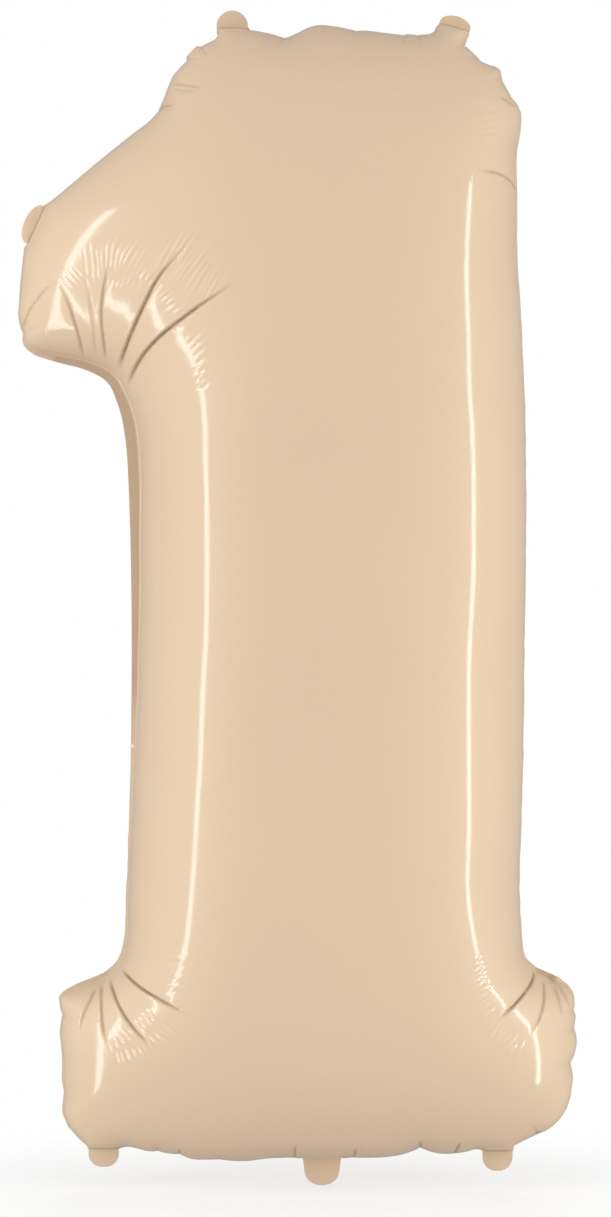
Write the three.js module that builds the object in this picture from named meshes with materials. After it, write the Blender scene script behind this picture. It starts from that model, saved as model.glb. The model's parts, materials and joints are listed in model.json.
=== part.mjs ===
// Foil number balloon in the shape of a figure one, drawn inflated.
// Millimetres, +Z up. The front faces -Y and the welded seam lies in the plane Y = 0.
// The origin is below the middle of the balloon, level with the tip of the inflation tail.
//
// Two foil films, cut to the same outline, are welded together along their edge. Small
// welded flaps stand on the edge for tying the balloon up, and an open tail at the bottom
// leads into a valve of two thin films that hangs inside.

import * as THREE from 'three';

// ---------------------------------------------------------------- film and clearances

const filmWall = 0.5;
const weldWidth = 6;
const weldGap = 0.3;
const pieceGap = 0.3;
const flapThickness = 0.6;
const hingeRootGap = 0.2;

// ---------------------------------------------------------------- figure outline

const figureWidth = 448;
const figureHeight = 905.5;
const flagReach = 90;
const stemBow = 3;
const stemTopTaper = 3;

// Half depth of the inflated stem divided by its half width between the welds.
const fullness = 0.7;

const leftToe = 56;
const rightToe = 43;
const leftToeHeight = 130.5;
const rightToeHeight = 138.5;
const instepHeight = 158;
const leftHeelHeight = 31.5;
const rightHeelHeight = 30.5;
const rightHeelSetback = 9;
const rightToeBellyHeight = 88.5;
const leftBellyInset = 46;
const rightBellyInset = 86;

const flagBottomDrop = 264;
const flagBellyDrop = 225;
const flagNotchDrop = 285;
const shoulderDrop = 74;
const shoulderInset = 17;
const crownInset = 47.5;
const crownDrop = 13.5;
const chamferDrop = 64;
const chamferMiddle = 23;
const chamferMiddleDrop = 33;

// The top edge bows up a little between its two flaps, and the left side of the stem
// reaches a little further out where it meets the flag and the foot.
const crownBow = 2;
const crownBowOffset = 10;
const flagNotchOutset = 2;
const leftInstepOutset = 4;

// Places of the five flaps on the edge, from the nearest side and end of the figure.
const leftFootTabInset = 35;
const leftFootTabRise = 8;
const rightFootTabInset = 64;
const rightFootTabRise = 6.5;
const topRightTabInset = 55.2;
const topRightTabDrop = 0.4;
const topLeftTabInset = 81.8;
const topLeftTabDrop = 1.2;
const flagTabInset = 14.5;
const flagTabDrop = 159;

// ---------------------------------------------------------------- tail and valve

const tailWidth = 31;
const tailTipWidth = 27;
const tailLength = 19.6;
const tailRound = 9;
const tailOffset = 4;
const neckTaper = 8;
const valveWall = 0.3;
const valveSideGap = 1.5;
const valveLength = 115;
const valveRound = 6;

// The two valve films lie between the envelope films in the neck, each with its gap.
const valveHalfGap = pieceGap / 2;
const neckHalfGap = valveHalfGap + valveWall + pieceGap;
const tailHalfThickness = neckHalfGap + filmWall;
const tailHingeGap = tailHalfThickness + pieceGap;
const flapHingeGap = flapThickness / 2 + pieceGap;

// ---------------------------------------------------------------- places of the outline

const baseEdge = tailLength + hingeRootGap + tailHingeGap;
const topEdge = baseEdge + figureHeight;
const figureLeft = -figureWidth / 2;
const figureRight = figureWidth / 2;
const stemRight = figureRight - rightToe;
const stemLeft = figureLeft + flagReach;
const stemMiddle = (stemLeft + stemRight) / 2;
const footLeft = stemLeft - leftToe;
const tailX = stemMiddle - tailOffset;
const stemHalf = (stemRight - stemLeft) / 2 - weldWidth;

// ---------------------------------------------------------------- hanging flaps
// x and z place the middle of the fold line, and lean turns the flap clockwise from
// straight up. The corners of its tip are rounded over roundAcross and roundAlong. Each
// flap stands on a short inflated stub: before and after say how far the stub spreads and
// drops from the fold to the edge on its two sides, going round the outline anticlockwise.

const flaps = [
  {
    name: 'left_foot_tab',
    x: footLeft + leftFootTabInset,
    z: baseEdge + leftFootTabRise,
    lean: 180,
    width: 25,
    length: 14.2,
    roundAcross: 11,
    roundAlong: 11,
    before: { spread: 1, drop: 1.5 },
    after: { spread: 1, drop: 1 },
  },
  {
    name: 'right_foot_tab',
    x: figureRight - rightFootTabInset,
    z: baseEdge + rightFootTabRise,
    lean: 180,
    width: 25,
    length: 16,
    roundAcross: 11,
    roundAlong: 12,
    before: { spread: 1, drop: 1 },
    after: { spread: 1, drop: 1.5 },
  },
  {
    name: 'top_right_tab',
    x: stemRight - topRightTabInset,
    z: topEdge - topRightTabDrop,
    lean: 16,
    width: 26,
    length: 7.4,
    roundAcross: 11,
    roundAlong: 6.5,
    before: { spread: 1.2, drop: 13 },
    after: { spread: 4.2, drop: 11.5 },
  },
  {
    name: 'top_left_tab',
    x: stemLeft + topLeftTabInset,
    z: topEdge - topLeftTabDrop,
    lean: 0,
    width: 26,
    length: 12.6,
    roundAcross: 12,
    roundAlong: 12,
    before: { spread: 1, drop: 3 },
    after: { spread: 1, drop: 9.5 },
  },
  {
    name: 'flag_tab',
    x: figureLeft + flagTabInset,
    z: topEdge - flagTabDrop,
    lean: -65.4,
    width: 34,
    length: 8.6,
    roundAcross: 14,
    roundAlong: 7.5,
    before: { spread: 1.5, drop: 1.5 },
    after: { spread: 1.5, drop: 1.5 },
  },
];

// Outward direction of a flap, and the direction in which the outline passes it.
function flapAxes(flap) {
  const lean = THREE.MathUtils.degToRad(flap.lean);
  const out = new THREE.Vector2(Math.sin(lean), Math.cos(lean));
  return { out, along: new THREE.Vector2(-out.y, out.x) };
}

// ---------------------------------------------------------------- outline

// A corner of the outline; reach says how far from it, along both edges, its rounding starts.
const corner = (x, z, reach = 0) => ({ point: new THREE.Vector2(x, z), reach });

// The short inflated stub that carries a flap: up from the edge, along the fold, down.
function stubCorners(name) {
  const flap = flaps.find((item) => item.name === name);
  const { out, along } = flapAxes(flap);
  const place = (side, spread, drop) => {
    const point = new THREE.Vector2(flap.x, flap.z);
    point.addScaledVector(along, side * (flap.width / 2 + spread));
    point.addScaledVector(out, -drop);
    return { point, reach: 0 };
  };
  return [
    place(-1, flap.before.spread, flap.before.drop),
    place(-1, 0, 0),
    place(1, 0, 0),
    place(1, flap.after.spread, flap.after.drop),
  ];
}

const outlineCorners = [
  ...stubCorners('left_foot_tab'),
  corner(stemLeft + leftBellyInset, baseEdge, 18),
  corner(tailX - tailWidth / 2 - neckTaper, baseEdge),
  corner(tailX - tailWidth / 2, baseEdge),
  corner(tailX + tailWidth / 2, baseEdge),
  corner(tailX + tailWidth / 2 + neckTaper, baseEdge),
  corner(stemRight - rightBellyInset, baseEdge, 18),
  ...stubCorners('right_foot_tab'),
  corner(figureRight - rightHeelSetback, baseEdge + rightHeelHeight, 20),
  corner(figureRight, baseEdge + rightToeBellyHeight, 12),
  corner(figureRight, baseEdge + rightToeHeight, 16),
  corner(stemRight, baseEdge + instepHeight, 12),
  corner(stemRight + stemBow, (baseEdge + topEdge) / 2, 150),
  corner(stemRight - stemTopTaper, topEdge - chamferDrop, 14),
  corner(stemRight - chamferMiddle, topEdge - chamferMiddleDrop, 12),
  ...stubCorners('top_right_tab'),
  corner(stemMiddle + crownBowOffset, topEdge + crownBow, 50),
  ...stubCorners('top_left_tab'),
  corner(stemLeft + crownInset, topEdge - crownDrop, 12),
  corner(stemLeft + shoulderInset, topEdge - shoulderDrop, 22),
  ...stubCorners('flag_tab'),
  corner(figureLeft, topEdge - flagBellyDrop, 12),
  corner(figureLeft, topEdge - flagBottomDrop, 16),
  corner(stemLeft - flagNotchOutset, topEdge - flagNotchDrop, 40),
  corner(stemLeft + stemBow, (baseEdge + topEdge) / 2, 100),
  corner(stemLeft - leftInstepOutset, baseEdge + instepHeight, 14),
  corner(footLeft, baseEdge + leftToeHeight, 12),
  corner(footLeft, baseEdge + leftHeelHeight, 14),
];

const longestEdge = 58;
const wideRound = 30;
const roundSteps = (reach) => (reach > wideRound ? 5 : 3);

// Where the rounding of a corner meets the edge towards a neighbour. Two roundings share a
// short edge by their reach and leave this part of it straight.
const straightShare = 0.1;

function roundingEnd(here, neighbour) {
  const edge = neighbour.point.clone().sub(here.point);
  const room = edge.length() * (1 - straightShare) * here.reach / (here.reach + neighbour.reach);
  return here.point.clone().add(edge.setLength(Math.min(here.reach, room)));
}

// Rounds each corner with a quadratic curve and splits the long edges.
function traceOutline(corners) {
  const rounded = [];
  corners.forEach((here, i) => {
    if (here.reach === 0) {
      rounded.push(here.point);
      return;
    }
    const start = roundingEnd(here, corners[(i + corners.length - 1) % corners.length]);
    const end = roundingEnd(here, corners[(i + 1) % corners.length]);
    const curve = new THREE.QuadraticBezierCurve(start, here.point, end);
    rounded.push(...curve.getPoints(roundSteps(here.reach)));
  });
  const outline = [];
  rounded.forEach((point, i) => {
    const next = rounded[(i + 1) % rounded.length];
    const pieces = Math.ceil(point.distanceTo(next) / longestEdge);
    for (let k = 0; k < pieces; k += 1) {
      outline.push(point.clone().lerp(next, k / pieces));
    }
  });
  return outline;
}

// Moves a closed anticlockwise outline inwards, keeping its corners mitred.
function insetOutline(points, distance) {
  return points.map((point, i) => {
    const before = points[(i + points.length - 1) % points.length];
    const after = points[(i + 1) % points.length];
    const a = point.clone().sub(before).normalize();
    const b = after.clone().sub(point).normalize();
    const normal = new THREE.Vector2(-(a.y + b.y), a.x + b.x).normalize();
    const square = normal.x * -a.y + normal.y * a.x;
    return point.clone().addScaledVector(normal, distance / square);
  });
}

const weldEdge = traceOutline(outlineCorners);
const weldLine = insetOutline(weldEdge, weldWidth);
const weldLineInner = insetOutline(weldEdge, weldWidth + filmWall);

// ---------------------------------------------------------------- inflated depth

// Harmonic reach of a point inside the weld line: zero on the line and, halfway across a
// long strip, half the strip's width. It comes from the mean of one over the distance to
// the line in every direction, found exactly for a polygon.
function harmonicReach(point, polygon) {
  let sum = 0;
  polygon.forEach((start, i) => {
    const a = start.clone().sub(point);
    const b = polygon[(i + 1) % polygon.length].clone().sub(point);
    const la = a.length();
    const lb = b.length();
    const angle = Math.atan2(a.cross(b), a.dot(b));
    sum += Math.tan(angle / 2) * (1 / la + 1 / lb);
  });
  return 4 / sum;
}

const inflatedDepth = (point) => fullness * Math.sqrt(stemHalf * harmonicReach(point, weldLine));

// ---------------------------------------------------------------- envelope films

// Every point of the outline has a rib that runs in to a narrow core up the stem, which
// is a slot with round ends.
const coreHalfWidth = 22;
const coreBottomHeight = 130;
const coreTopDrop = 165;
const ribSteps = 6;

// The last ring of the ribs stays this part of a step short of the core.
const coreStandoff = 0.5;

function corePoint(point) {
  const height = THREE.MathUtils.clamp(point.y, baseEdge + coreBottomHeight, topEdge - coreTopDrop);
  const spine = new THREE.Vector2(stemMiddle, height);
  return point.clone().sub(spine).setLength(coreHalfWidth).add(spine);
}

// Half the space between the films where they are flat: wider in the neck, for the valve.
function halfGapAt(point) {
  const inNeck = point.y < baseEdge + 2 * weldWidth;
  const past = Math.max(0, Math.abs(point.x - tailX) - tailWidth / 2);
  const share = inNeck ? Math.max(0, 1 - past / neckTaper) : 0;
  return THREE.MathUtils.lerp(weldGap / 2, neckHalfGap, share);
}

// Rings of points on the air side of the front film, from the cut edge inwards.
function filmRings() {
  const flat = (p) => new THREE.Vector3(p.x, -halfGapAt(p) - filmWall, p.y);
  const rings = [weldEdge.map(flat), weldLine.map(flat)];
  for (let step = 1; step <= ribSteps; step += 1) {
    const share = 1 - Math.cos((Math.PI / 2) * (step / (ribSteps + coreStandoff)));
    rings.push(weldLine.map((start) => {
      const p = start.clone().lerp(corePoint(start), share);
      const gap = THREE.MathUtils.lerp(halfGapAt(start), weldGap / 2, share);
      return new THREE.Vector3(p.x, -gap - filmWall - inflatedDepth(p), p.y);
    }));
  }
  return rings;
}

// Closes a ring by zipping its two sides together from its lowest point to its highest.
function zipRing(ring) {
  const count = ring.length;
  let right = 0;
  ring.forEach((p, i) => {
    right = p.z < ring[right].z ? i : right;
  });
  let left = right;
  const triangles = [];
  while ((right + 1) % count !== left) {
    const nextRight = (right + 1) % count;
    const nextLeft = (left + count - 1) % count;
    if (ring[nextRight].z < ring[nextLeft].z || nextLeft === right) {
      triangles.push([left, right, nextRight]);
      right = nextRight;
    } else {
      triangles.push([left, right, nextLeft]);
      left = nextLeft;
    }
  }
  return triangles;
}

// Triangles of a skin of rings, facing -Y, with its middle closed.
function skinTriangles(rings) {
  const count = rings[0].length;
  const triangles = [];
  for (let ring = 0; ring + 1 < rings.length; ring += 1) {
    const outer = ring * count;
    for (let i = 0; i < count; i += 1) {
      const next = (i + 1) % count;
      triangles.push([outer + i, outer + next, outer + count + next]);
      triangles.push([outer + i, outer + count + next, outer + count + i]);
    }
  }
  const last = rings.length - 1;
  zipRing(rings[last]).forEach((triangle) => {
    triangles.push(triangle.map((i) => i + last * count));
  });
  return triangles;
}

function geometryOf(points, triangles) {
  const geometry = new THREE.BufferGeometry();
  geometry.setFromPoints(points);
  geometry.setIndex(triangles.flat());
  geometry.computeVertexNormals();
  return geometry;
}

// The gas side of the film: a wall's thickness behind every point of the air side.
function gasSide(air, triangles, count) {
  const normals = geometryOf(air, triangles).getAttribute('normal');
  return air.map((point, i) => {
    if (i < count) {
      return point.clone().setY(point.y + filmWall);
    }
    if (i < 2 * count) {
      const inner = weldLineInner[i - count];
      return new THREE.Vector3(inner.x, point.y + filmWall, inner.y);
    }
    const normal = new THREE.Vector3().fromBufferAttribute(normals, i);
    return point.clone().addScaledVector(normal, -filmWall);
  });
}

// One film with its wall. side is 1 for the front film and -1 for the back film, which is
// the front film mirrored in the plane of the seam.
function filmGeometry(side) {
  const rings = filmRings();
  const count = rings[0].length;
  const skin = skinTriangles(rings);
  const air = rings.flat();
  const gas = gasSide(air, skin, count);
  const body = [...skin];
  skin.forEach(([a, b, c]) => body.push([c + air.length, b + air.length, a + air.length]));
  for (let i = 0; i < count; i += 1) {
    const next = (i + 1) % count;
    body.push([next, i, i + air.length], [next, i + air.length, next + air.length]);
  }
  const points = [...air, ...gas].map((p) => new THREE.Vector3(p.x, side * p.y, p.z));
  return geometryOf(points, side < 0 ? body.map(([a, b, c]) => [c, b, a]) : body);
}

// ---------------------------------------------------------------- flat pieces

// A tongue of film with a straight root and a round tip, standing up from its root.
function tongueShape({ width, tipWidth = width, length, roundAcross, roundAlong }) {
  const shape = new THREE.Shape();
  shape.moveTo(-width / 2, 0);
  shape.lineTo(width / 2, 0);
  shape.lineTo(tipWidth / 2, length - roundAlong);
  shape.quadraticCurveTo(tipWidth / 2, length, tipWidth / 2 - roundAcross, length);
  shape.lineTo(-tipWidth / 2 + roundAcross, length);
  shape.quadraticCurveTo(-tipWidth / 2, length, -tipWidth / 2, length - roundAlong);
  shape.closePath();
  return shape;
}

const tipSegments = 5;

function plateGeometry(shape, thickness) {
  return new THREE.ExtrudeGeometry(shape, {
    depth: thickness,
    bevelEnabled: false,
    curveSegments: tipSegments,
  });
}

// Stands a flat piece in the plane of the seam. Its own x runs along the fold, its own y
// points outwards, and yStart is where its thickness begins.
function placeFlat(mesh, x, z, axes, yStart) {
  const { out, along } = axes;
  mesh.matrix.makeBasis(
    new THREE.Vector3(along.x, 0, along.y),
    new THREE.Vector3(out.x, 0, out.y),
    new THREE.Vector3(0, 1, 0),
  );
  mesh.quaternion.setFromRotationMatrix(mesh.matrix);
  mesh.position.set(x, yStart, z);
}

// ---------------------------------------------------------------- materials

const filmColor = '#e4cbab';
const flapColor = '#d9bf9d';
const valveColor = '#e9e4da';

function foil(color) {
  return new THREE.MeshStandardMaterial({ color, roughness: 0.3, metalness: 0.35 });
}

function clearFilm() {
  return new THREE.MeshStandardMaterial({ color: valveColor, roughness: 0.25, metalness: 0 });
}

// ---------------------------------------------------------------- assembly

function addPiece(group, name, geometry, material) {
  const mesh = new THREE.Mesh(geometry, material);
  mesh.name = name;
  group.add(mesh);
  return mesh;
}

function addEnvelope(group) {
  addPiece(group, 'front_film', filmGeometry(1), foil(filmColor));
  addPiece(group, 'back_film', filmGeometry(-1), foil(filmColor));
}

function addFlaps(group) {
  flaps.forEach((flap) => {
    const geometry = plateGeometry(tongueShape(flap), flapThickness);
    const mesh = addPiece(group, flap.name, geometry, foil(flapColor));
    const axes = flapAxes(flap);
    const root = flapHingeGap + hingeRootGap;
    placeFlat(mesh, flap.x + axes.out.x * root, flap.z + axes.out.y * root, axes, -flapThickness / 2);
  });
}

function addTail(group) {
  const shape = tongueShape({
    width: tailWidth,
    tipWidth: tailTipWidth,
    length: tailLength,
    roundAcross: tailRound,
    roundAlong: tailRound,
  });
  const starts = { tail_front_ply: -tailHalfThickness, tail_back_ply: neckHalfGap };
  Object.entries(starts).forEach(([name, yStart]) => {
    const mesh = addPiece(group, name, plateGeometry(shape, filmWall), foil(flapColor));
    placeFlat(mesh, tailX, tailLength, flapAxes({ lean: 180 }), yStart);
  });
}

function addValve(group) {
  const shape = tongueShape({
    width: tailWidth - 2 * valveSideGap,
    length: valveLength,
    roundAcross: valveRound,
    roundAlong: valveRound,
  });
  const starts = { valve_front_film: -valveHalfGap - valveWall, valve_back_film: valveHalfGap };
  Object.entries(starts).forEach(([name, yStart]) => {
    const mesh = addPiece(group, name, plateGeometry(shape, valveWall), clearFilm());
    placeFlat(mesh, tailX, baseEdge, flapAxes({ lean: 0 }), yStart);
  });
}

const balloon = new THREE.Group();
addEnvelope(balloon);
addFlaps(balloon);
addTail(balloon);
addValve(balloon);

export default balloon;
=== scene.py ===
"""Inflated foil number balloon, a figure one: films, flaps, tail and valve on the CAD frame."""

import json
import math

import bmesh
import bpy
import numpy as np
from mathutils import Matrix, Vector


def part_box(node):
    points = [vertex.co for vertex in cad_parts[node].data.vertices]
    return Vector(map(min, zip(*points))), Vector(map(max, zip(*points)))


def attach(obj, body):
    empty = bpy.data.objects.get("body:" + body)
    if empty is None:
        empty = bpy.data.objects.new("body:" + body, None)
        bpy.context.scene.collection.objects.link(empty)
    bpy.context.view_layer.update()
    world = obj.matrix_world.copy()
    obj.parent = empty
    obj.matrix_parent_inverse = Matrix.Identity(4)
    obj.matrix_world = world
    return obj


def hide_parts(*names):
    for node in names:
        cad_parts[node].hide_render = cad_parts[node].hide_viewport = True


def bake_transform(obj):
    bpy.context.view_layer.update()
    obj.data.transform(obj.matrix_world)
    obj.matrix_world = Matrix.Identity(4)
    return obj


bl_info = {
    "name": "Foil Number Balloon",
    "version": (1, 0, 0),
    "blender": (4, 5, 0),
    "location": "View3D > Sidebar > Balloon",
    "description": "Builds the films, flaps and tail of a foil number balloon around its frame",
    "category": "Object",
}

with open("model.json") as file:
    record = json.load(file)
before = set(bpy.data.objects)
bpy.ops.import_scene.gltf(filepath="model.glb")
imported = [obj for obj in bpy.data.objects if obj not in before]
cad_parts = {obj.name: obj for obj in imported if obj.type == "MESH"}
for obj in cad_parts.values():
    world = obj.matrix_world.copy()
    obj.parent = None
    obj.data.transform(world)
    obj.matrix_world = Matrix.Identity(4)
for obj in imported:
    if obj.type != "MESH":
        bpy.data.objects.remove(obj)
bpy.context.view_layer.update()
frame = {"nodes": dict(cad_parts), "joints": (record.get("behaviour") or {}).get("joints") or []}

MM = 0.001

# ------------------------------------------------------------------ places on the balloon
# Millimetres in the frame: x to the right, z up, y = 0 in the seam, the front facing -y.

FRONT_LOW, FRONT_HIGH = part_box("front_film")
BASE_EDGE = FRONT_LOW.z / MM
TOP_EDGE = FRONT_HIGH.z / MM
STEM_MIDDLE = 23.5

# The cut edge, anticlockwise from the left foot flap. The third number is how far from the
# corner its rounding starts; a corner without rounding is a nick between two scallops.
EDGE = [
    (-168.5, 30.5, 0),
    (-167.5, 28.4, 0),
    (-142.5, 28.4, 0),
    (-141.5, 30.2, 0),
    (-131.0, 29.6, 6),
    (-119.0, 26.0, 5),
    (-111.5, 26.6, 0),
    (-103.0, 24.2, 6),
    (-94.5, 24.2, 0),
    (-85.0, 19.6, 7),
    (-62.0, 19.8, 0),
    (-45.0, 17.6, 14),
    (-22.0, 21.2, 12),
    (-4.0, 21.4, 0),
    (4.0, 21.4, 0),
    (35.0, 21.4, 0),
    (43.0, 21.6, 0),
    (64.0, 21.0, 16),
    (85.0, 23.6, 12),
    (98.0, 29.4, 0),
    (110.0, 24.4, 9),
    (130.0, 24.8, 10),
    (146.0, 29.2, 0),
    (147.5, 26.9, 0),
    (172.5, 26.9, 0),
    (173.5, 31.0, 0),
    (183.0, 36.0, 4),
    (191.5, 39.8, 0),
    (203.0, 44.5, 8),
    (214.5, 57.0, 8),
    (219.0, 72.0, 7),
    (221.0, 84.0, 7),
    (218.6, 97.0, 0),
    (222.6, 105.0, 5),
    (224.4, 115.5, 6),
    (221.4, 125.0, 0),
    (224.2, 130.5, 4),
    (221.0, 140.0, 0),
    (222.6, 147.0, 5),
    (219.5, 157.5, 5),
    (211.0, 164.6, 6),
    (197.0, 171.4, 6),
    (186.5, 175.6, 4),
    (181.0, 184.0, 5),
    (179.4, 200.0, 8),
    (177.2, 244.0, 22),
    (180.6, 320.0, 30),
    (181.6, 420.0, 40),
    (183.4, 530.0, 40),
    (182.6, 620.0, 40),
    (178.8, 700.0, 30),
    (175.6, 740.0, 20),
    (176.0, 790.0, 12),
    (175.0, 822.0, 8),
    (179.4, 848.0, 7),
    (178.6, 862.0, 4),
    (171.8, 869.6, 0),
    (168.0, 876.6, 4),
    (164.4, 882.4, 0),
    (165.6, 890.0, 4),
    (157.6, 895.0, 0),
    (149.0, 896.4, 3),
    (144.6, 902.0, 0),
    (139.0, 908.0, 4),
    (133.6, 911.0, 0),
    (138.3, 922.9, 0),
    (113.3, 930.1, 0),
    (107.4, 919.4, 0),
    (101.5, 920.8, 3),
    (96.0, 919.8, 0),
    (90.0, 921.4, 3),
    (84.0, 919.8, 0),
    (68.0, 921.6, 8),
    (54.0, 923.6, 6),
    (47.0, 923.0, 0),
    (32.0, 926.6, 8),
    (16.0, 928.2, 6),
    (5.0, 924.6, 5),
    (-3.6, 918.6, 4),
    (-10.0, 917.4, 0),
    (-22.0, 921.0, 5),
    (-38.2, 924.2, 0),
    (-39.2, 925.6, 0),
    (-65.2, 925.6, 0),
    (-63.0, 916.2, 0),
    (-69.0, 917.8, 3),
    (-75.6, 914.6, 3),
    (-77.6, 910.6, 0),
    (-84.0, 911.6, 3),
    (-89.0, 906.0, 3),
    (-88.6, 899.4, 0),
    (-90.0, 895.0, 3),
    (-97.0, 892.0, 3),
    (-100.6, 886.0, 0),
    (-103.6, 879.0, 3),
    (-106.4, 871.0, 3),
    (-111.2, 859.6, 0),
    (-118.0, 851.0, 6),
    (-132.0, 840.8, 6),
    (-160.0, 818.4, 10),
    (-199.4, 785.4, 6),
    (-202.4, 783.3, 0),
    (-216.6, 752.4, 0),
    (-219.0, 749.6, 0),
    (-221.2, 728.0, 10),
    (-224.4, 694.0, 9),
    (-219.6, 681.0, 0),
    (-221.0, 674.0, 3),
    (-213.6, 665.0, 4),
    (-196.0, 658.8, 8),
    (-168.0, 652.0, 10),
    (-150.6, 642.4, 9),
    (-140.8, 617.0, 12),
    (-136.4, 588.0, 12),
    (-133.8, 530.0, 30),
    (-132.4, 440.0, 40),
    (-133.4, 330.0, 40),
    (-136.4, 250.0, 30),
    (-138.6, 194.0, 10),
    (-144.0, 178.0, 6),
    (-156.0, 168.6, 5),
    (-178.0, 160.0, 8),
    (-190.8, 152.0, 6),
    (-191.2, 143.0, 4),
    (-188.2, 136.0, 0),
    (-190.6, 122.0, 6),
    (-187.8, 96.0, 8),
    (-188.8, 84.0, 6),
    (-186.8, 72.0, 5),
    (-189.0, 60.0, 6),
    (-186.4, 49.0, 4),
    (-178.6, 40.6, 4),
]

# Where the welded border lies face-on beside the body: a place on the edge, how face-on it
# is, from 0 for curled back behind the body to 1 for flat in the seam, and its width there.
# At the root of a flap, and of the tail, it narrows to FOLD_WIDTH.
FOLD_WIDTH = 1.4
BORDER = [
    (-168.5, 30.5, 0.4, 3.0),
    (-167.5, 28.4, 1.0, FOLD_WIDTH),
    (-142.5, 28.4, 1.0, FOLD_WIDTH),
    (-141.5, 30.2, 0.4, 3.0),
    (-131.0, 29.6, 0.0, 5.0),
    (-6.0, 21.4, 0.1, 5.0),
    (2.0, 21.4, 1.0, 1.6),
    (37.0, 21.4, 1.0, 1.6),
    (45.0, 21.6, 0.1, 5.0),
    (140.0, 27.6, 0.0, 5.0),
    (147.5, 26.9, 1.0, FOLD_WIDTH),
    (172.5, 26.9, 1.0, FOLD_WIDTH),
    (176.0, 32.6, 0.0, 5.0),
    (221.0, 150.0, 0.0, 5.0),
    (216.0, 160.5, 0.5, 5.0),
    (208.0, 166.0, 1.0, 6.4),
    (196.0, 171.6, 0.9, 5.0),
    (186.0, 176.0, 0.2, 4.5),
    (179.4, 200.0, 0.0, 4.5),
    (181.0, 500.0, 0.0, 4.5),
    (136.0, 917.0, 0.3, 3.0),
    (138.3, 922.9, 1.0, FOLD_WIDTH),
    (113.3, 930.1, 1.0, FOLD_WIDTH),
    (110.0, 924.0, 0.3, 3.0),
    (100.0, 920.6, 0.0, 5.0),
    (23.5, 927.4, 0.0, 5.0),
    (-34.0, 923.4, 0.0, 5.0),
    (-39.2, 925.6, 1.0, FOLD_WIDTH),
    (-65.2, 925.6, 1.0, FOLD_WIDTH),
    (-64.0, 919.0, 0.3, 3.0),
    (-70.0, 917.6, 0.0, 5.0),
    (-196.0, 788.4, 0.0, 5.0),
    (-202.4, 783.3, 1.0, FOLD_WIDTH),
    (-216.6, 752.4, 1.0, FOLD_WIDTH),
    (-220.0, 744.0, 0.0, 5.0),
    (-220.5, 684.0, 0.0, 5.0),
    (-215.0, 667.0, 0.6, 5.0),
    (-196.0, 659.0, 1.0, 6.2),
    (-168.0, 652.4, 1.0, 7.2),
    (-150.6, 643.4, 1.0, 8.6),
    (-138.6, 604.0, 1.0, 11.0),
    (-136.0, 570.0, 1.0, 10.5),
    (-133.0, 500.0, 1.0, 8.0),
    (-132.6, 400.0, 1.0, 5.6),
    (-133.0, 364.0, 0.9, 4.4),
    (-134.0, 320.0, 0.6, 4.2),
    (-136.6, 246.0, 0.3, 4.4),
    (-142.0, 182.0, 0.5, 5.0),
    (-156.0, 169.0, 0.8, 5.4),
    (-178.0, 160.4, 0.6, 5.0),
    (-190.6, 150.0, 0.0, 5.0),
]

# Pairs of a place on the edge and the place on the core of the stem that its rib runs to.
RIB_ENDS = [
    ((-155.0, 28.0), (7.9, 135.8)),
    ((19.5, 21.4), (23.5, 129.4)),
    ((160.0, 26.0), (39.1, 135.8)),
    ((222.0, 112.0), (45.5, 165.0)),
    ((181.0, 184.0), (45.5, 205.0)),
    ((183.0, 520.0), (45.5, 500.0)),
    ((178.6, 860.0), (45.5, 745.0)),
    ((126.0, 926.0), (38.5, 778.0)),
    ((23.5, 927.4), (23.5, 783.9)),
    ((-52.0, 925.6), (9.5, 778.8)),
    ((-111.0, 860.0), (1.5, 755.0)),
    ((-209.5, 768.0), (1.5, 728.0)),
    ((-221.0, 674.0), (1.5, 696.0)),
    ((-150.6, 643.0), (1.5, 660.0)),
    ((-134.0, 560.0), (1.5, 570.0)),
    ((-132.6, 390.0), (1.5, 390.0)),
    ((-144.0, 178.0), (1.5, 205.0)),
    ((-190.8, 148.0), (1.5, 172.0)),
    ((-188.6, 60.0), (3.5, 142.0)),
]

# The core of the stem that the ribs run to: a slot with round ends.
CORE_HALF = 22.0
CORE_LOW = BASE_EDGE + 130.0
CORE_HIGH = TOP_EDGE - 165.0
CORE_STRAIGHT = CORE_HIGH - CORE_LOW
HALF_TURN = math.pi * CORE_HALF
CORE_ROUND = 2 * (CORE_STRAIGHT + HALF_TURN)

# The flaps: the middle of each one's fold line, which way it points, its width, its length
# from the fold, how far its tip's corners are rounded across and along, how much it cups and
# how far its tip curls back. Each reaches FLAP_ROOT inside its fold line.
FLAPS = [
    {"name": "left_foot", "finish": "welded_foil", "x": -155.0, "z": 29.35,
     "width": 25.0, "length": 15.0, "round": (10.5, 10.5), "cup": 1.3, "curl": 1.6},
    {"name": "right_foot", "finish": "welded_foil", "x": 160.0, "z": 27.85,
     "width": 25.0, "length": 16.6, "round": (10.5, 11.5), "cup": 1.3, "curl": 1.8},
    {"name": "top_right", "finish": "welded_foil", "x": 125.8, "z": 926.45,
     "width": 26.0, "length": 8.2, "round": (12.4, 7.0), "cup": 0.9, "curl": -0.9},
    {"name": "top_left", "finish": "welded_foil", "x": -52.2, "z": 925.65,
     "width": 26.0, "length": 13.4, "round": (12.6, 12.4), "cup": 1.1, "curl": -1.2},
    {"name": "flag", "finish": "satin_foil", "x": -209.5, "z": 767.85,
     "width": 34.0, "length": 9.4, "round": (16.4, 8.6), "cup": 1.6, "curl": 1.2},
]
FLAP_ROOT = 1.0

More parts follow.
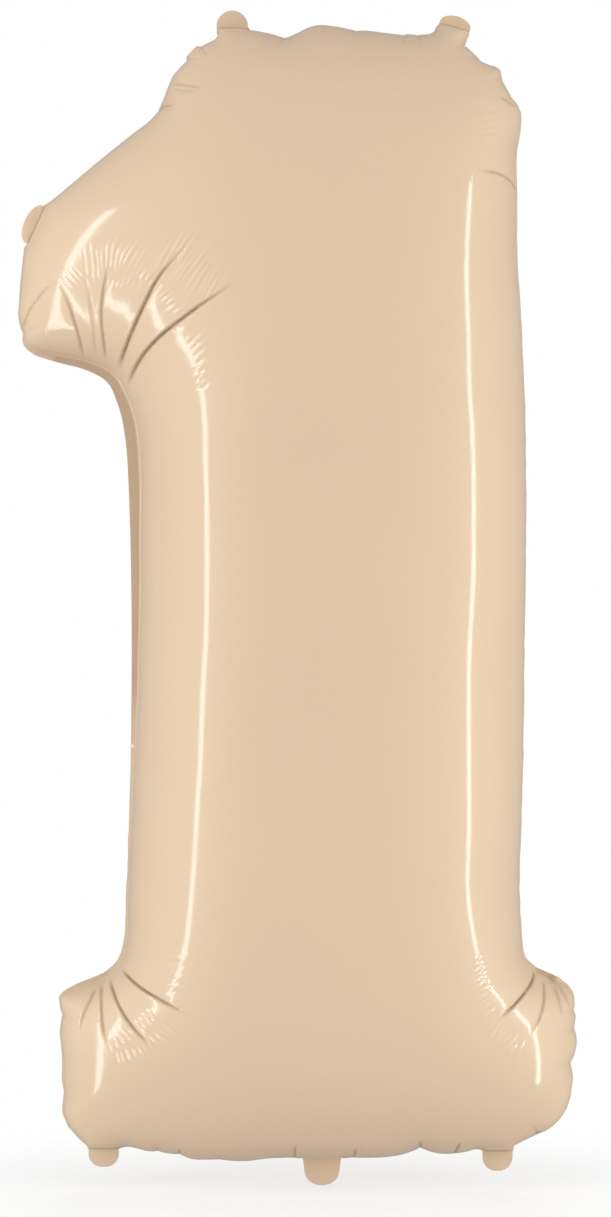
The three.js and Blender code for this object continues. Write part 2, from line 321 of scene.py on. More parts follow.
# The tail: its width at the foot and at its tip, its length, its corners' rounding across and
# along, how far its root reaches up between the films, and the length over which its plies
# stand apart and how far.
TAIL_WIDTH = 31.0
TAIL_TIP = 27.6
TAIL_LENGTH = 21.4
TAIL_ROUND = (12.8, 11.5)
TAIL_ROOT = 1.6
TAIL_FREE = 20.0
TAIL_OPENING = 0.9

# Pleats: the line of each fold from the seam inwards, the half width of its valley and its
# depth where it is deepest, and the wide soft dip around it.
PLEATS = [
    ([(-170.0, 660.0), (-174.0, 680.0), (-181.0, 702.0), (-189.2, 720.0)], 1.19, 0.93, 0.56),
    ([(-160.0, 660.0), (-161.6, 690.0), (-167.6, 728.0)], 1.19, 0.43, 0.24),
    ([(-151.6, 656.0), (-154.0, 684.0), (-153.0, 706.0), (-145.6, 741.0)], 1.26, 1.05, 0.56),
    ([(-142.6, 648.0), (-136.0, 664.0), (-127.6, 682.4), (-110.8, 714.4), (-96.0, 732.0),
      (-81.0, 747.0)], 1.54, 1.98, 1.12),
    ([(-136.0, 636.0), (-124.0, 656.0), (-106.8, 673.6), (-77.2, 694.4), (-60.0, 705.0),
      (-43.0, 717.0)], 1.61, 1.98, 1.12),
    ([(-221.0, 682.0), (-212.4, 699.2), (-202.0, 711.0), (-189.8, 720.0)], 1.4, 0.62, 0.64),
    ([(-141.0, 176.0), (-124.4, 164.0), (-107.6, 155.2), (-90.8, 147.2), (-82.0, 144.2)],
     1.33, 1.61, 0.96),
    ([(-150.0, 168.0), (-147.6, 162.4), (-141.2, 148.8), (-133.2, 136.8), (-121.2, 124.0),
      (-108.4, 114.6)], 1.33, 1.49, 0.88),
    ([(-156.0, 164.0), (-155.4, 152.0), (-154.8, 142.4), (-152.8, 127.2), (-148.0, 113.6)],
     1.26, 1.05, 0.64),
    ([(-160.0, 160.0), (-168.4, 142.4), (-172.0, 131.2), (-171.6, 123.0)], 1.4, 0.81, 0.56),
    ([(190.0, 174.0), (186.0, 166.4), (175.6, 155.2), (165.0, 146.0), (153.6, 137.8)],
     1.33, 1.74, 0.96),
    ([(196.0, 166.0), (194.8, 152.0), (191.6, 140.0), (186.5, 131.2), (181.2, 125.6)],
     1.4, 0.93, 0.72),
    ([(204.0, 161.0), (208.4, 146.4), (209.7, 136.6)], 1.68, 0.56, 0.4),
    ([(208.6, 160.0), (214.8, 148.8), (217.6, 142.0)], 1.54, 0.5, 0.32),
    ([(176.6, 792.0), (170.0, 798.6), (158.0, 803.0), (139.0, 804.4)], 1.26, 0.81, 0.64),
    ([(174.0, 860.0), (168.4, 862.6), (158.4, 867.0)], 1.12, 0.62, 0.4),
    ([(-110.8, 859.8), (-104.0, 858.4), (-96.0, 857.6)], 1.12, 0.74, 0.4),
    ([(-99.0, 877.0), (-88.0, 873.4), (-72.0, 868.6)], 1.26, 0.5, 0.4),
    ([(-99.4, 872.4), (-90.0, 869.0), (-78.0, 866.6)], 1.12, 0.31, 0.24),
    ([(-10.0, 918.6), (-16.0, 919.6), (-23.0, 921.2)], 0.98, 0.74, 0.4),
    ([(-2.6, 22.6), (-2.0, 31.0), (-1.4, 41.0)], 1.12, 0.81, 0.48),
    ([(-94.4, 24.6), (-94.0, 29.0), (-92.8, 33.6)], 1.05, 0.62, 0.4),
    ([(44.4, 23.6), (45.4, 30.0), (46.8, 38.0)], 1.12, 0.81, 0.48),
    ([(125.0, 27.0), (126.6, 33.0), (129.0, 41.0)], 1.19, 0.99, 0.48),
    ([(191.0, 40.6), (191.6, 44.0), (192.0, 47.0)], 1.12, 0.74, 0.32),
    ([(98.0, 29.8), (97.6, 35.0), (96.4, 44.0)], 1.26, 0.5, 0.4),
]

# Fans of fine puckers: the line they stand along, their pitch, length either side of that
# line, height, slant, which is how far a pucker moves along the line as it runs across, and
# how strongly its crest is painted paler and its dip darker, a painted highlight and shade.
FANS = [
    ([(-191.0, 714.0), (-181.0, 720.0), (-166.0, 727.0)], 4.4, 8.0, 0.05, 0.30, 0.8),
    ([(-168.0, 728.0), (-152.0, 735.0), (-138.0, 738.0), (-118.0, 734.0)],
     4.5, 13.0, 0.17, -0.35, 1.2),
    ([(-148.0, 716.0), (-134.0, 716.0), (-120.0, 713.0)], 4.4, 4.5, 0.1, -0.3, 1.0),
    ([(-104.0, 744.0), (-90.0, 733.0), (-76.0, 720.0), (-60.0, 708.0)], 4.2, 17.0, 0.22, 0.1, 1.0),
    ([(-124.0, 722.0), (-110.0, 712.0), (-98.0, 698.0), (-88.0, 684.0)], 4.4, 5.0, 0.26, 0.0, 1.3),
    ([(-80.0, 676.0), (-76.0, 662.0), (-74.0, 646.0), (-72.0, 630.0)], 6.6, 6.5, 0.26, 0.6, 0.6),
    ([(-91.0, 196.0), (-94.0, 180.0), (-97.0, 160.0), (-98.0, 150.0)], 6.8, 6.0, 0.22, 0.35, 0.6),
    ([(-150.0, 118.0), (-140.0, 120.0), (-127.0, 131.0), (-112.0, 146.0)], 4.5, 5.0, 0.2, 0.1, 1.0),
    ([(-144.0, 108.0), (-128.0, 112.0), (-112.0, 122.0), (-98.0, 138.0)], 4.6, 5.5, 0.2, 0.1, 1.0),
    ([(140.0, 192.0), (143.0, 178.0), (146.0, 164.0), (152.0, 142.0)], 4.8, 6.0, 0.2, 0.4, 0.8),
    ([(150.0, 132.0), (160.0, 128.0), (168.0, 122.0), (178.0, 118.0)], 4.6, 7.0, 0.16, -0.2, 0.8),
    ([(48.0, 38.0), (60.0, 39.0), (74.0, 38.0)], 4.2, 8.0, 0.12, 0.0, 0.3),
    ([(148.0, 864.0), (150.0, 840.0), (150.0, 824.0)], 6.2, 10.0, 0.1, 0.15, 0.4),
    ([(-196.0, 722.0), (-208.0, 706.0), (-216.0, 690.0)], 5.0, 7.0, 0.06, 0.4, 0.3),
]


# ------------------------------------------------------------------ outline

def rounded_outline(corners, spacing):
    """The closed cut edge with its corners rounded, in points about a spacing apart."""
    count = len(corners)
    line = []
    for i, (x, z, reach) in enumerate(corners):
        here = np.array([x, z])
        if reach == 0:
            line.append(here)
            continue
        ends = []
        for other in (corners[i - 1], corners[(i + 1) % count]):
            edge = np.array(other[:2]) - here
            length = np.linalg.norm(edge)
            room = 0.96 * length * reach / (reach + other[2])
            ends.append(here + edge / length * min(reach, room))
        for t in np.linspace(0, 1, 7):
            line.append((1 - t) ** 2 * ends[0] + 2 * t * (1 - t) * here + t * t * ends[1])
    points = []
    for a, b in zip(line, line[1:] + line[:1]):
        pieces = max(1, int(round(np.linalg.norm(b - a) / spacing)))
        if np.linalg.norm(b - a) < 0.45 * spacing and points and len(points) % 2:
            continue
        points.extend(a + (b - a) * k / pieces for k in range(pieces))
    return np.array(points)


def lengths_along(points):
    steps = np.linalg.norm(np.roll(points, -1, 0) - points, axis=1)
    return np.concatenate([[0], np.cumsum(steps)[:-1]]), steps.sum()


def outward_normals(points, reach=3.0):
    """Outward direction at each point, from the edge a short way either side of it."""
    place, total = lengths_along(points)

    def at(s):
        s = np.mod(s, total)
        grown = np.vstack([points, points[:1]])
        marks = np.append(place, total)
        return np.stack([np.interp(s, marks, grown[:, k]) for k in (0, 1)], 1)

    along = at(place + reach) - at(place - reach)
    along /= np.linalg.norm(along, axis=1, keepdims=True)
    return np.stack([along[:, 1], -along[:, 0]], 1)


def place_on(points, target):
    place, _ = lengths_along(points)
    return place[np.argmin(np.linalg.norm(points - np.array(target), axis=1))]


def along_edge(points, keys, values):
    """Values set at a few places round the edge, joined smoothly in between."""
    place, total = lengths_along(points)
    marks = np.array([place_on(points, key) for key in keys])
    order = np.argsort(marks)
    marks, values = marks[order], np.array(values, float)[order]
    marks = np.concatenate([[marks[-1] - total], marks, [marks[0] + total]])
    values = np.concatenate([[values[-1]], values, [values[0]]])
    i = np.clip(np.searchsorted(marks, place, "right") - 1, 0, len(marks) - 2)
    t = (place - marks[i]) / np.maximum(marks[i + 1] - marks[i], 1e-9)
    t = t * t * (3 - 2 * t)
    return values[i] + (values[i + 1] - values[i]) * t


# ------------------------------------------------------------------ core of the stem

def core_length(point):
    """How far round the core, a slot with round ends, a point on it lies, anticlockwise."""
    x, z = point[0] - STEM_MIDDLE, point[1]
    if z < CORE_LOW:
        return (math.atan2(z - CORE_LOW, x) + math.pi) * CORE_HALF
    if z > CORE_HIGH:
        return HALF_TURN + CORE_STRAIGHT + math.atan2(z - CORE_HIGH, x) * CORE_HALF
    if x > 0:
        return HALF_TURN + z - CORE_LOW
    return 2 * HALF_TURN + CORE_STRAIGHT + CORE_HIGH - z


def core_points(lengths):
    """Places on the core, in x and z, by how far round it they lie."""
    s = np.mod(lengths, CORE_ROUND)
    x = np.empty_like(s)
    z = np.empty_like(s)
    low = s < HALF_TURN
    angle = s / CORE_HALF + math.pi
    x[low], z[low] = CORE_HALF * np.cos(angle[low]), CORE_LOW + CORE_HALF * np.sin(angle[low])
    right = (s >= HALF_TURN) & (s < HALF_TURN + CORE_STRAIGHT)
    x[right], z[right] = CORE_HALF, CORE_LOW + s[right] - HALF_TURN
    high = (s >= HALF_TURN + CORE_STRAIGHT) & (s < 2 * HALF_TURN + CORE_STRAIGHT)
    angle = (s - HALF_TURN - CORE_STRAIGHT) / CORE_HALF
    x[high], z[high] = CORE_HALF * np.cos(angle[high]), CORE_HIGH + CORE_HALF * np.sin(angle[high])
    left = s >= 2 * HALF_TURN + CORE_STRAIGHT
    x[left], z[left] = -CORE_HALF, CORE_HIGH - (s[left] - 2 * HALF_TURN - CORE_STRAIGHT)
    return np.stack([x + STEM_MIDDLE, z], 1)


def rib_ends(edge):
    """For every point of the edge the place on the core that its rib runs to."""
    place, total = lengths_along(edge)
    marks = np.array([place_on(edge, key) for key, _ in RIB_ENDS])
    ends = np.array([core_length(end) for _, end in RIB_ENDS])
    order = np.argsort(marks)
    marks, ends = marks[order], ends[order]
    ends = np.unwrap(ends, period=CORE_ROUND)
    marks = np.concatenate([[marks[-1] - total], marks, [marks[0] + total]])
    ends = np.concatenate([[ends[-1] - CORE_ROUND], ends, [ends[0] + CORE_ROUND]])
    return core_points(np.interp(place, marks, ends))


# ------------------------------------------------------------------ inflated depth

def harmonic_reach(points, polygon, chunk=4000):
    """Reach of the points inside a closed line: zero on it and, halfway across a long strip,
    half the strip's width. Found exactly for a polygon."""
    following = np.roll(polygon, -1, 0)
    reach = np.empty(len(points))
    for first in range(0, len(points), chunk):
        p = points[first:first + chunk, None]
        a, b = polygon[None] - p, following[None] - p
        la = np.maximum(np.linalg.norm(a, axis=2), 1e-6)
        lb = np.maximum(np.linalg.norm(b, axis=2), 1e-6)
        cross = a[..., 0] * b[..., 1] - a[..., 1] * b[..., 0]
        dot = (a * b).sum(2)
        angle = np.arctan2(cross, np.where(np.abs(cross) + np.abs(dot) < 1e-9, 1.0, dot))
        angle = np.clip(angle, -math.pi + 1e-6, math.pi - 1e-6)
        reach[first:first + chunk] = 4 / (np.tan(angle / 2) * (1 / la + 1 / lb)).sum(1)
    return np.clip(reach, 0, None)


def inside(points, polygon):
    """Which points lie inside a closed line."""
    found = np.zeros(len(points), bool)
    for a, b in zip(polygon, np.roll(polygon, -1, 0)):
        spans = (a[1] > points[:, 1]) != (b[1] > points[:, 1])
        if spans.any():
            x = a[0] + (points[:, 1] - a[1]) * (b[0] - a[0]) / (b[1] - a[1] + 1e-12)
            found ^= spans & (points[:, 0] < x)
    return found


class LocalHalf:
    """Half width of the balloon around a point, as a strip would have it.

    A film under pressure in a long strip is as deep as the root of its slackness, which
    falls from the middle to the welds. The slackness of the whole outline is found by
    relaxing it on a grid, and divided by the reach it varies slowly up to the welds.
    """

    STEP = 4.0
    SWEEPS = 420
    OVERSHOOT = 1.95
    SPREADS = 9

    def __init__(self, polygon):
        self.low = polygon.min(0) - 3 * self.STEP
        size = np.ceil((polygon.max(0) + 3 * self.STEP - self.low) / self.STEP).astype(int) + 1
        i, j = np.meshgrid(np.arange(size[0]), np.arange(size[1]), indexing="ij")
        nodes = self.low + np.stack([i, j], 2) * self.STEP
        flat = nodes.reshape(-1, 2)
        free = inside(flat, polygon).reshape(size)
        slack = np.zeros(size)
        checks = [free & ((i + j) % 2 == parity) for parity in (0, 1)]
        for _ in range(self.SWEEPS):
            for check in checks:
                around = np.zeros(size)
                around[1:-1, 1:-1] = (slack[:-2, 1:-1] + slack[2:, 1:-1] + slack[1:-1, :-2]
                                      + slack[1:-1, 2:] + self.STEP ** 2) / 4
                slack = np.where(check, slack + self.OVERSHOOT * (around - slack), slack)
        reach = np.zeros(size)
        reach[free] = harmonic_reach(nodes[free], polygon)
        known = free & (reach > 3.2 * self.STEP)
        half = np.where(known, 2 * slack / np.maximum(reach, 1), 0.0)
        weight = known.astype(float)
        for _ in range(self.SPREADS):
            half, weight = self.spread(half), self.spread(weight)
            fresh = (weight > 1e-6) & ~known
            half = np.where(fresh, half / np.maximum(weight, 1e-6), half)
            half = np.where(known | fresh, half / np.where(fresh, 1, np.maximum(weight, 1e-6)), 0)
            known = known | fresh
            weight = known.astype(float)
        self.half = half

    @staticmethod
    def spread(values):
        """Each value shared out over its four neighbours."""
        padded = np.pad(values, 1)
        return (2 * values + padded[:-2, 1:-1] + padded[2:, 1:-1] + padded[1:-1, :-2]
                + padded[1:-1, 2:]) / 6

    def at(self, points):
        """The half width at any places, read between the grid's own."""
        grid = (points - self.low) / self.STEP
        cell = np.clip(np.floor(grid).astype(int), 0, np.array(self.half.shape) - 2)
        u, v = (grid - cell).T
        i, j = cell.T
        h = self.half
        return ((1 - u) * (1 - v) * h[i, j] + u * (1 - v) * h[i + 1, j]
                + (1 - u) * v * h[i, j + 1] + u * v * h[i + 1, j + 1])


# ------------------------------------------------------------------ one film as a mesh

# Half the gap between the films: in the weld, at a flap's fold and in the neck, where the
# valve lies between them. The neck's gap closes sideways over NECK_TAPER, and upwards
# between NECK_RISE and NECK_END above the foot.
PLY_OFFSET = 0.2
FOLD_OFFSET = 0.5
NECK_OFFSET = 0.9
NECK_X = 19.5
NECK_HALF = 16.0
NECK_TAPER = 8.0
NECK_RISE = 6.0
NECK_END = 24.0

# How far in the weld lies where the border curls back, and how the border ripples.
CURLED_INSET = 0.9
RIPPLE_PITCH = 9.0
RIPPLE_HEIGHT = 0.35

# Points closer to the weld line than this are on it and have no depth.
WELD_GAP = 0.02

# Rings of each film: in the border, from the weld to the core, and the half widths inside it.
BORDER_RINGS = 4
RING_COUNT = 34
CORE_RINGS = (15.0, 8.5, 3.0)

# Share of the depth that the pointed flag and the left foot lack.
FLAG_FLATTER = 0.48
FOOT_FLATTER = 0.47


def cross(a, b):
    return a[:, 0] * b[:, 1] - a[:, 1] * b[:, 0]


def smoothstep(low, high, value):
    t = np.clip((value - low) / (high - low), 0, 1)
    return t * t * (3 - 2 * t)


def end_fullness(plan):
    """Share of its full roundness that the film keeps: the pointed ends stay flatter."""
    x, z = plan.T
    flag = (1 - smoothstep(-215, 10, x)) * (1 - smoothstep(680, 850, z)) * smoothstep(560, 660, z)
    foot = (1 - smoothstep(-190, 20, x)) * (1 - smoothstep(60, 260, z))
    return 1 - FLAG_FLATTER * flag - FOOT_FLATTER * foot


class FilmPlan:
    """Where the columns of a film stand round the edge, and how its border lies there."""

    def __init__(self, settings):
        self.edge = rounded_outline(EDGE, settings.edge_spacing / MM)
        self.out = outward_normals(self.edge)
        keys = [(x, z) for x, z, _, _ in BORDER]
        face_on = along_edge(self.edge, keys, [face for _, _, face, _ in BORDER])
        self.width = along_edge(self.edge, keys, [width for _, _, _, width in BORDER])
        inset = face_on * self.width + (1 - face_on) * CURLED_INSET
        self.cos = np.clip(inset / self.width, 0, 1)
        self.sin = np.sqrt(1 - self.cos ** 2)
        self.weld = self.edge - self.out * inset[:, None]
        self.ends = rib_ends(self.edge)
        self.uncross_ribs()
        fold = np.exp(-((self.width - FOLD_WIDTH) / 0.5) ** 2)
        low = self.edge[:, 1] < BASE_EDGE + NECK_RISE
        past = np.abs(self.edge[:, 0] - NECK_X) - NECK_HALF
        neck = np.where(low, 1 - smoothstep(0, NECK_TAPER, past), 0)
        self.offset = np.maximum(
            PLY_OFFSET + (FOLD_OFFSET - PLY_OFFSET) * fold,
            PLY_OFFSET + (NECK_OFFSET - PLY_OFFSET) * neck,
        )
        self.fullness = settings.fullness
        self.local_half = LocalHalf(self.weld)

    def uncross_ribs(self):
        """Eases the weld line where the ribs beside a notch would cross."""
        for _ in range(60):
            inner = self.body_plan(1)
            a = np.roll(self.weld, -1, 0) - self.weld
            b = inner - self.weld
            c = np.roll(inner, -1, 0) - inner
            crossed = (cross(a, b) <= 0) | (cross(c, b) <= 0)
            for step in range(1, 24):
                deep = self.body_plan(step)
                gap = np.roll(deep, -1, 0) - deep
                crossed |= cross(gap, self.ends - self.weld) <= 0
            if not crossed.any():
                return
            near = np.zeros(len(crossed), bool)
            for shift in (-2, -1, 0, 1, 2, 3):
                near |= np.roll(crossed, shift)
            eased = (np.roll(self.weld, 1, 0) + np.roll(self.weld, -1, 0) + 2 * self.weld) / 4
            self.weld = np.where(near[:, None], eased, self.weld)

    def depth(self, plan):
        reach = harmonic_reach(plan, self.weld)
        reach[self.gap_to_weld(plan) < WELD_GAP] = 0
        return self.fullness * np.sqrt(self.local_half.at(plan) * end_fullness(plan) * reach)

    def gap_to_weld(self, plan):
        gap = np.empty(len(plan))
        for first in range(0, len(plan), 8000):
            part = plan[first:first + 8000, None] - self.weld[None]
            gap[first:first + 8000] = np.sqrt((part ** 2).sum(2)).min(1)
        return gap

    def border_ring(self, share, side, ripple):
        """A ring of the border: share 1 is the cut edge and 0 the weld."""
        run = self.width * share
        lean = side * self.offset + ripple * share
        plan = self.weld + self.out * (self.cos * run + self.sin * lean)[:, None]
        return np.stack([plan[:, 0], self.sin * run - self.cos * lean, plan[:, 1]], 1)

    def body_plan(self, step):
        share = 1 - math.cos(math.pi / 2 * step / (RING_COUNT + 0.4))
        return self.weld + (self.ends - self.weld) * share

    def core_plan(self, half):
        middle = np.stack(
            [np.full(len(self.ends), STEM_MIDDLE), np.clip(self.ends[:, 1], CORE_LOW, CORE_HIGH)], 1
        )
        return middle + (self.ends - middle) * half / CORE_HALF

    def offset_at(self, plan):
        """Half the gap between the films near the edge, which closes to the ply offset."""
        low = 1 - smoothstep(BASE_EDGE + NECK_RISE, BASE_EDGE + NECK_END, plan[:, 1])
        past = np.abs(plan[:, 0] - NECK_X) - NECK_HALF
        neck = (1 - smoothstep(0, NECK_TAPER, past)) * low
        return PLY_OFFSET + (NECK_OFFSET - PLY_OFFSET) * neck


def extrude_ring(bm, ring, places):
    """Extrudes a closed ring of vertices to new places and returns the new ring."""
    edges = [bm.edges.get((a, b)) for a, b in zip(ring, ring[1:] + ring[:1])]
    made = bmesh.ops.extrude_edge_only(bm, edges=edges)["geom"]
    fresh = {v for v in made if isinstance(v, bmesh.types.BMVert)}
    new_ring = []
    for vertex in ring:
        new_ring.append(next(e.other_vert(vertex) for e in vertex.link_edges
                             if e.other_vert(vertex) in fresh))
    for vertex, place in zip(new_ring, places):
        vertex.co = place
    return new_ring


def film_mesh(plan, side, seed):
    """The film's rings, extruded one after another from the cut edge to the stem's core."""
    bm = bmesh.new()
    body = bm.verts.layers.float.new("body")
    weld_shade = bm.verts.layers.float.new("weld")
    rng = np.random.default_rng(seed)
    ripple = seam_noise(plan.edge, rng, RIPPLE_PITCH) * RIPPLE_HEIGHT
    ring = [bm.verts.new(place) for place in plan.border_ring(1, side, ripple)]
    for a, b in zip(ring, ring[1:] + ring[:1]):
        bm.edges.new((a, b))
    rings = [ring]
    for step in range(1, BORDER_RINGS):
        ring = extrude_ring(bm, ring, plan.border_ring(1 - step / BORDER_RINGS, side, ripple))
        rings.append(ring)
    # Painted shade: the weld attribute darkens the border the more face-on it lies.
    for ring in rings:
        for vertex, face_on in zip(ring, plan.cos):
            vertex[weld_shade] = face_on
    weld = plan.weld
    ring = extrude_ring(bm, ring, np.stack([weld[:, 0], -side * plan.offset, weld[:, 1]], 1))
    for vertex in ring:
        vertex[body], vertex[weld_shade] = 1, 0
    plans = [plan.body_plan(step) for step in range(1, RING_COUNT + 1)]
    plans += [plan.ends] + [plan.core_plan(half) for half in CORE_RINGS]
    for flat in plans:
        ring = extrude_ring(bm, ring, np.stack([flat[:, 0], 0 * flat[:, 0], flat[:, 1]], 1))
        for vertex in ring:
            vertex[body], vertex[weld_shade] = 1, 0
    edges = [bm.edges.get((a, b)) for a, b in zip(ring, ring[1:] + ring[:1])]
    bmesh.ops.triangle_fill(bm, use_beauty=True, edges=edges)
    return bm, body


def seam_noise(edge, rng, pitch):
    """Smooth noise from -1 to 1 along the closed edge, with bumps about a pitch apart."""
    place, total = lengths_along(edge)
    count = int(total / pitch)
    values = rng.uniform(-1, 1, count)
    t = place / total * count
    i = np.floor(t).astype(int) % count
    f = t - np.floor(t)
    f = f * f * (3 - 2 * f)
    return values[i] * (1 - f) + values[(i + 1) % count] * f


# ------------------------------------------------------------------ pleats and puckers

def line_points(points, step=1.0):
    """Points every step along a line, on a smooth curve through the given ones."""
    points = np.array(points, float)
    grown = np.vstack([2 * points[0] - points[1], points, 2 * points[-1] - points[-2]])
    curve = []
    for i in range(1, len(grown) - 2):
        a, b, c, d = grown[i - 1:i + 3]
        pieces = max(2, int(np.linalg.norm(c - b) / step))
        for t in np.arange(pieces) / pieces:
            curve.append(0.5 * (2 * b + (c - a) * t + (2 * a - 5 * b + 4 * c - d) * t * t
                                + (3 * b - a - 3 * c + d) * t ** 3))
    curve.append(points[-1])
    return np.array(curve)


def along_and_across(plan, line):
    """For points near a line: how far along it and to its left they are, and its length."""
    following = line[1:] - line[:-1]
    length = np.linalg.norm(following, axis=1)
    marks = np.concatenate([[0], np.cumsum(length)])
    best = np.full(len(plan), np.inf)
    along = np.zeros(len(plan))
    across = np.zeros(len(plan))
    for a, step, size, mark in zip(line, following, length, marks):
        offset = plan - a
        t = np.clip(offset @ step / size ** 2, 0, 1)
        gap = offset - t[:, None] * step
        distance = np.linalg.norm(gap, axis=1)
        nearer = distance < best
        best = np.where(nearer, distance, best)
        along = np.where(nearer, mark + t * size, along)
        left = np.sign(step[0] * offset[:, 1] - step[1] * offset[:, 0])
        across = np.where(nearer, distance * left, across)
    return along, across, marks[-1]


def pleat_lift(plan, pleat):
    """How far a pleat lifts the film: a sharp valley in a wide soft dip, between low banks."""
    points, half, depth, dip = pleat
    line = line_points(points, 2.0)
    near = np.linalg.norm(plan[:, None] - line[None, ::3], axis=2).min(1) < 10 * half + 6
    lift = np.zeros(len(plan))
    if not near.any():
        return lift
    along, across, length = along_and_across(plan[near], line)
    share = along / length
    strength = smoothstep(-0.02, 0.16, share) * (1 - smoothstep(0.5, 1.0, share))
    narrow = half * (1.0 - 0.4 * share)
    u = np.abs(across)
    valley = -depth * np.clip(1 - u / (1.25 * narrow), 0, None) ** 1.3
    banks = 0.10 * depth * np.exp(-((u - 1.9 * narrow) / (0.9 * narrow)) ** 2)
    soft = -0.45 * dip * np.exp(-(u / (4.0 * narrow)) ** 2)
    lift[near] = strength * (valley + banks + soft)
    return lift


def fan_lift(plan, fan, rng):
    """Fine puckers side by side along a line, about one high before the fan's own height."""
    points, pitch, reach, _, slant, _ = fan
    line = line_points(points, 2.0)
    near = np.linalg.norm(plan[:, None] - line[None, ::3], axis=2).min(1) < 2.6 * reach
    lift = np.zeros(len(plan))
    if not near.any():
        return lift
    along, across, length = along_and_across(plan[near], line)
    count = int(length / pitch) + 4
    shifts = np.cumsum(rng.uniform(0.75, 1.25, count)) * pitch - 2 * pitch
    heights = rng.uniform(0.55, 1.1, count)
    middles = rng.uniform(-0.35, 0.35, count) * reach
    where = along + slant * across
    total = np.zeros(len(where))
    for shift, high, middle in zip(shifts, heights, middles):
        u = (where - shift) / (0.27 * pitch)
        v = (across - middle) / reach
        total += high * (np.exp(-u * u) - 0.5 * np.exp(-((u - 1.8) ** 2))) * np.exp(-(v ** 2) * 1.6)
    ends = smoothstep(-0.01, 0.08, along / length) * (1 - smoothstep(0.92, 1.01, along / length))
    lift[near] = total * ends
    return lift


def nick_pleats(rng):
    """Short pleats that run in from the nicks between the scallops of the edge."""
    made = []
    corners = np.array([c[:2] for c in EDGE])
    for i, (x, z, reach) in enumerate(EDGE):
        if reach or in_stub_or_neck(x, z):
            continue
        a, b = corners[i - 1], corners[(i + 1) % len(EDGE)]
        along = (b - a) / np.linalg.norm(b - a)
        inward = np.array([-along[1], along[0]])
        tilt = rng.uniform(-0.35, 0.35)
        length = rng.uniform(9, 19)
        start = np.array([x, z]) + inward * 0.5
        middle = start + (inward + 0.5 * tilt * along) * length * 0.5
        end = start + (inward + tilt * along) * length
        made.append(([tuple(start), tuple(middle), tuple(end)], 1.5, rng.uniform(0.5, 1.1), 0.45))
    return made


def in_stub_or_neck(x, z):
    if z < BASE_EDGE + 1 and abs(x - NECK_X) < NECK_HALF + NECK_TAPER + 1:
        return True
    for flap in FLAPS:
        if math.hypot(x - flap["x"], z - flap["z"]) < flap["width"] / 2 + 6:
            return True
    return False


def film_lift(plan_points, depth, pleats, rng):
    """How far the pleats and puckers lift the film, and the puckers' painted light and shade."""
    lift = np.zeros(len(plan_points))
    painted_pucker_light = np.zeros(len(plan_points))
    for pleat in pleats:
        lift += pleat_lift(plan_points, pleat)
    for fan in FANS:
        raised = fan_lift(plan_points, fan, rng)
        lift += fan[3] * raised
        painted_pucker_light += np.clip(raised, -1, 1) * fan[5]
    inside_weld = smoothstep(0.5, 9.0, depth)
    return lift * inside_weld, painted_pucker_light * inside_weld


def fold_shade(plan_points, depth, pleats):
    """Painted shade in the folds: how deep in a fold each point lies, from 0 outside it
    to 1 in a deep one.
    """
    tone = np.zeros(len(plan_points))
    for points, half, deep, _ in pleats:
        line = line_points(points, 2.0)
        near = np.linalg.norm(plan_points[:, None] - line[None, ::3], axis=2).min(1) < 8
        if not near.any():
            continue
        along, across, length = along_and_across(plan_points[near], line)
        share = along / length
        strength = smoothstep(0.0, 0.12, share) * (1 - smoothstep(0.6, 1.0, share))
        value = strength * np.exp(-(across / (0.8 * half)) ** 2) * min(1.0, deep / 1.5)
        tone[near] = np.maximum(tone[near], value)
    return tone * smoothstep(0.5, 5.0, depth)


def size_wanted(places, nicks):
    """How long an edge of the mesh may be at each place: short in the pleats and puckers."""
    size = np.full(len(places), 99.0)
    grades = [(line_points(pleat[0]), 0, 0.7) for pleat in PLEATS]
    grades += [(line_points(pleat[0]), 0, 1.2) for pleat in nicks]
    grades += [(line_points(fan[0]), fan[2], 0.95 if fan[5] > 0.7 else 1.3) for fan in FANS]
    for line, reach, finest in grades:
        middle, half = (line.max(0) + line.min(0)) / 2, (line.max(0) - line.min(0)) / 2
        near = np.flatnonzero((np.abs(places - middle) < half + reach + 12).all(1))
        if len(near):
            gap = np.linalg.norm(places[near][:, None] - line[None], axis=2).min(1)
            size[near] = np.minimum(size[near], finest + 0.4 * np.clip(gap - reach, 0, None))
    return size


def refine(bm, nicks):
    """Halves the long edges near the pleats and puckers, over and over."""
    for _ in range(4):
        places = np.array([(v.co.x, v.co.z) for v in bm.verts])
        size = size_wanted(places, nicks)
        bm.verts.index_update()
        ends = np.array([[v.index for v in edge.verts] for edge in bm.edges])
        length = np.linalg.norm(places[ends[:, 0]] - places[ends[:, 1]], axis=1)
        long = length > 1.4 * size[ends].min(1)
        edges = [edge for edge, chosen in zip(bm.edges, long) if chosen]
        bmesh.ops.subdivide_edges(bm, edges=edges, cuts=1, use_grid_fill=True)


